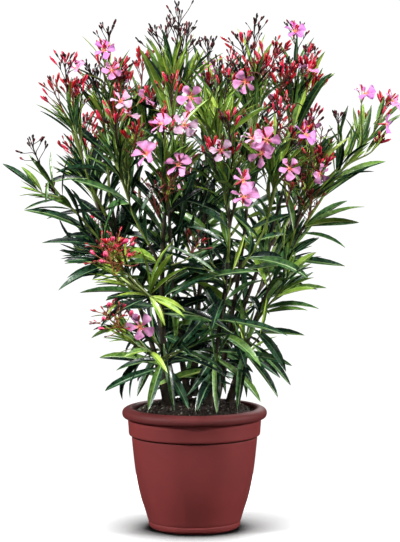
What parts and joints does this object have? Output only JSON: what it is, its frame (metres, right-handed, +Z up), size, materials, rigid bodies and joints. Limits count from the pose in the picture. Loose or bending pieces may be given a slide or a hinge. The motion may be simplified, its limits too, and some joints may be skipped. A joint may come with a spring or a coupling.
{
  "type": "potted oleander",
  "caption": "Bushy oleander shrub with slender woody canes, long narrow leaves and clusters of pink flowers and red buds, growing in a round tapered plastic flower pot with a rolled rim.",
  "frame": {"origin": "centre of the pot's flat underside, on the surface it stands on", "axes": "+Z up along the pot's axis; +X across the crown's broadest spread, towards the longest right-hand shoot; -Y towards the front view"},
  "size_m": [0.7274, 0.5152, 0.9598],
  "materials": {
    "pot": "satin, plain oxblood red",
    "compost": "matt, crumbly, near black",
    "bark": "matt, smooth brown bark with lenticels and old leaf scars",
    "foliage": "leathery, slightly glossy green"
  },
  "bodies": {
    "root": {"bough_back_far_left": "bark", "bough_back_low": "bark", "bough_back_right": "bark", "bough_centre_gap": "bark", "bough_left_back_low": "bark", "bough_left_far": "bark", "bough_left_foot_front": "bark", "bough_left_low_front": "bark", "bough_left_mid_front": "bark", "bough_left_upper": "bark", "bough_right_back": "bark", "bough_right_back_low": "bark", "bough_right_front": "bark", "bough_right_low": "bark", "bough_right_mid_front": "bark", "cane_back_centre": "bark", "cane_back_left": "bark", "cane_centre_front": "bark", "cane_centre_left": "bark", "cane_centre_right": "bark", "cane_left_front": "bark", "cane_left_outer": "bark", "cane_right_outer": "bark", "cane_right_upper": "bark", "foliage_back_centre": "foliage", "foliage_back_far_left": "foliage", "foliage_back_left": "foliage", "foliage_back_low": "foliage", "foliage_back_low_inner": "foliage", "foliage_back_right": "foliage", "foliage_centre_front": "foliage", "foliage_centre_gap": "foliage", "foliage_centre_left": "foliage", "foliage_centre_right": "foliage", "foliage_front_low": "foliage", "foliage_front_mid": "foliage", "foliage_left_back_low": "foliage", "foliage_left_centre": "foliage", "foliage_left_far": "foliage", "foliage_left_foot_front": "foliage", "foliage_left_front": "foliage", "foliage_left_low": "foliage", "foliage_left_low_front": "foliage", "foliage_left_mid": "foliage", "foliage_left_mid_front": "foliage", "foliage_left_outer": "foliage", "foliage_left_upper": "foliage", "foliage_right_back": "foliage", "foliage_right_back_low": "foliage", "foliage_right_centre": "foliage", "foliage_right_front": "foliage", "foliage_right_low": "foliage", "foliage_right_low_inner": "foliage", "foliage_right_mid_front": "foliage", "foliage_right_outer": "foliage", "foliage_right_upper": "foliage", "pot": "pot", "root_ball": "compost"}
  },
  "joints": []
}
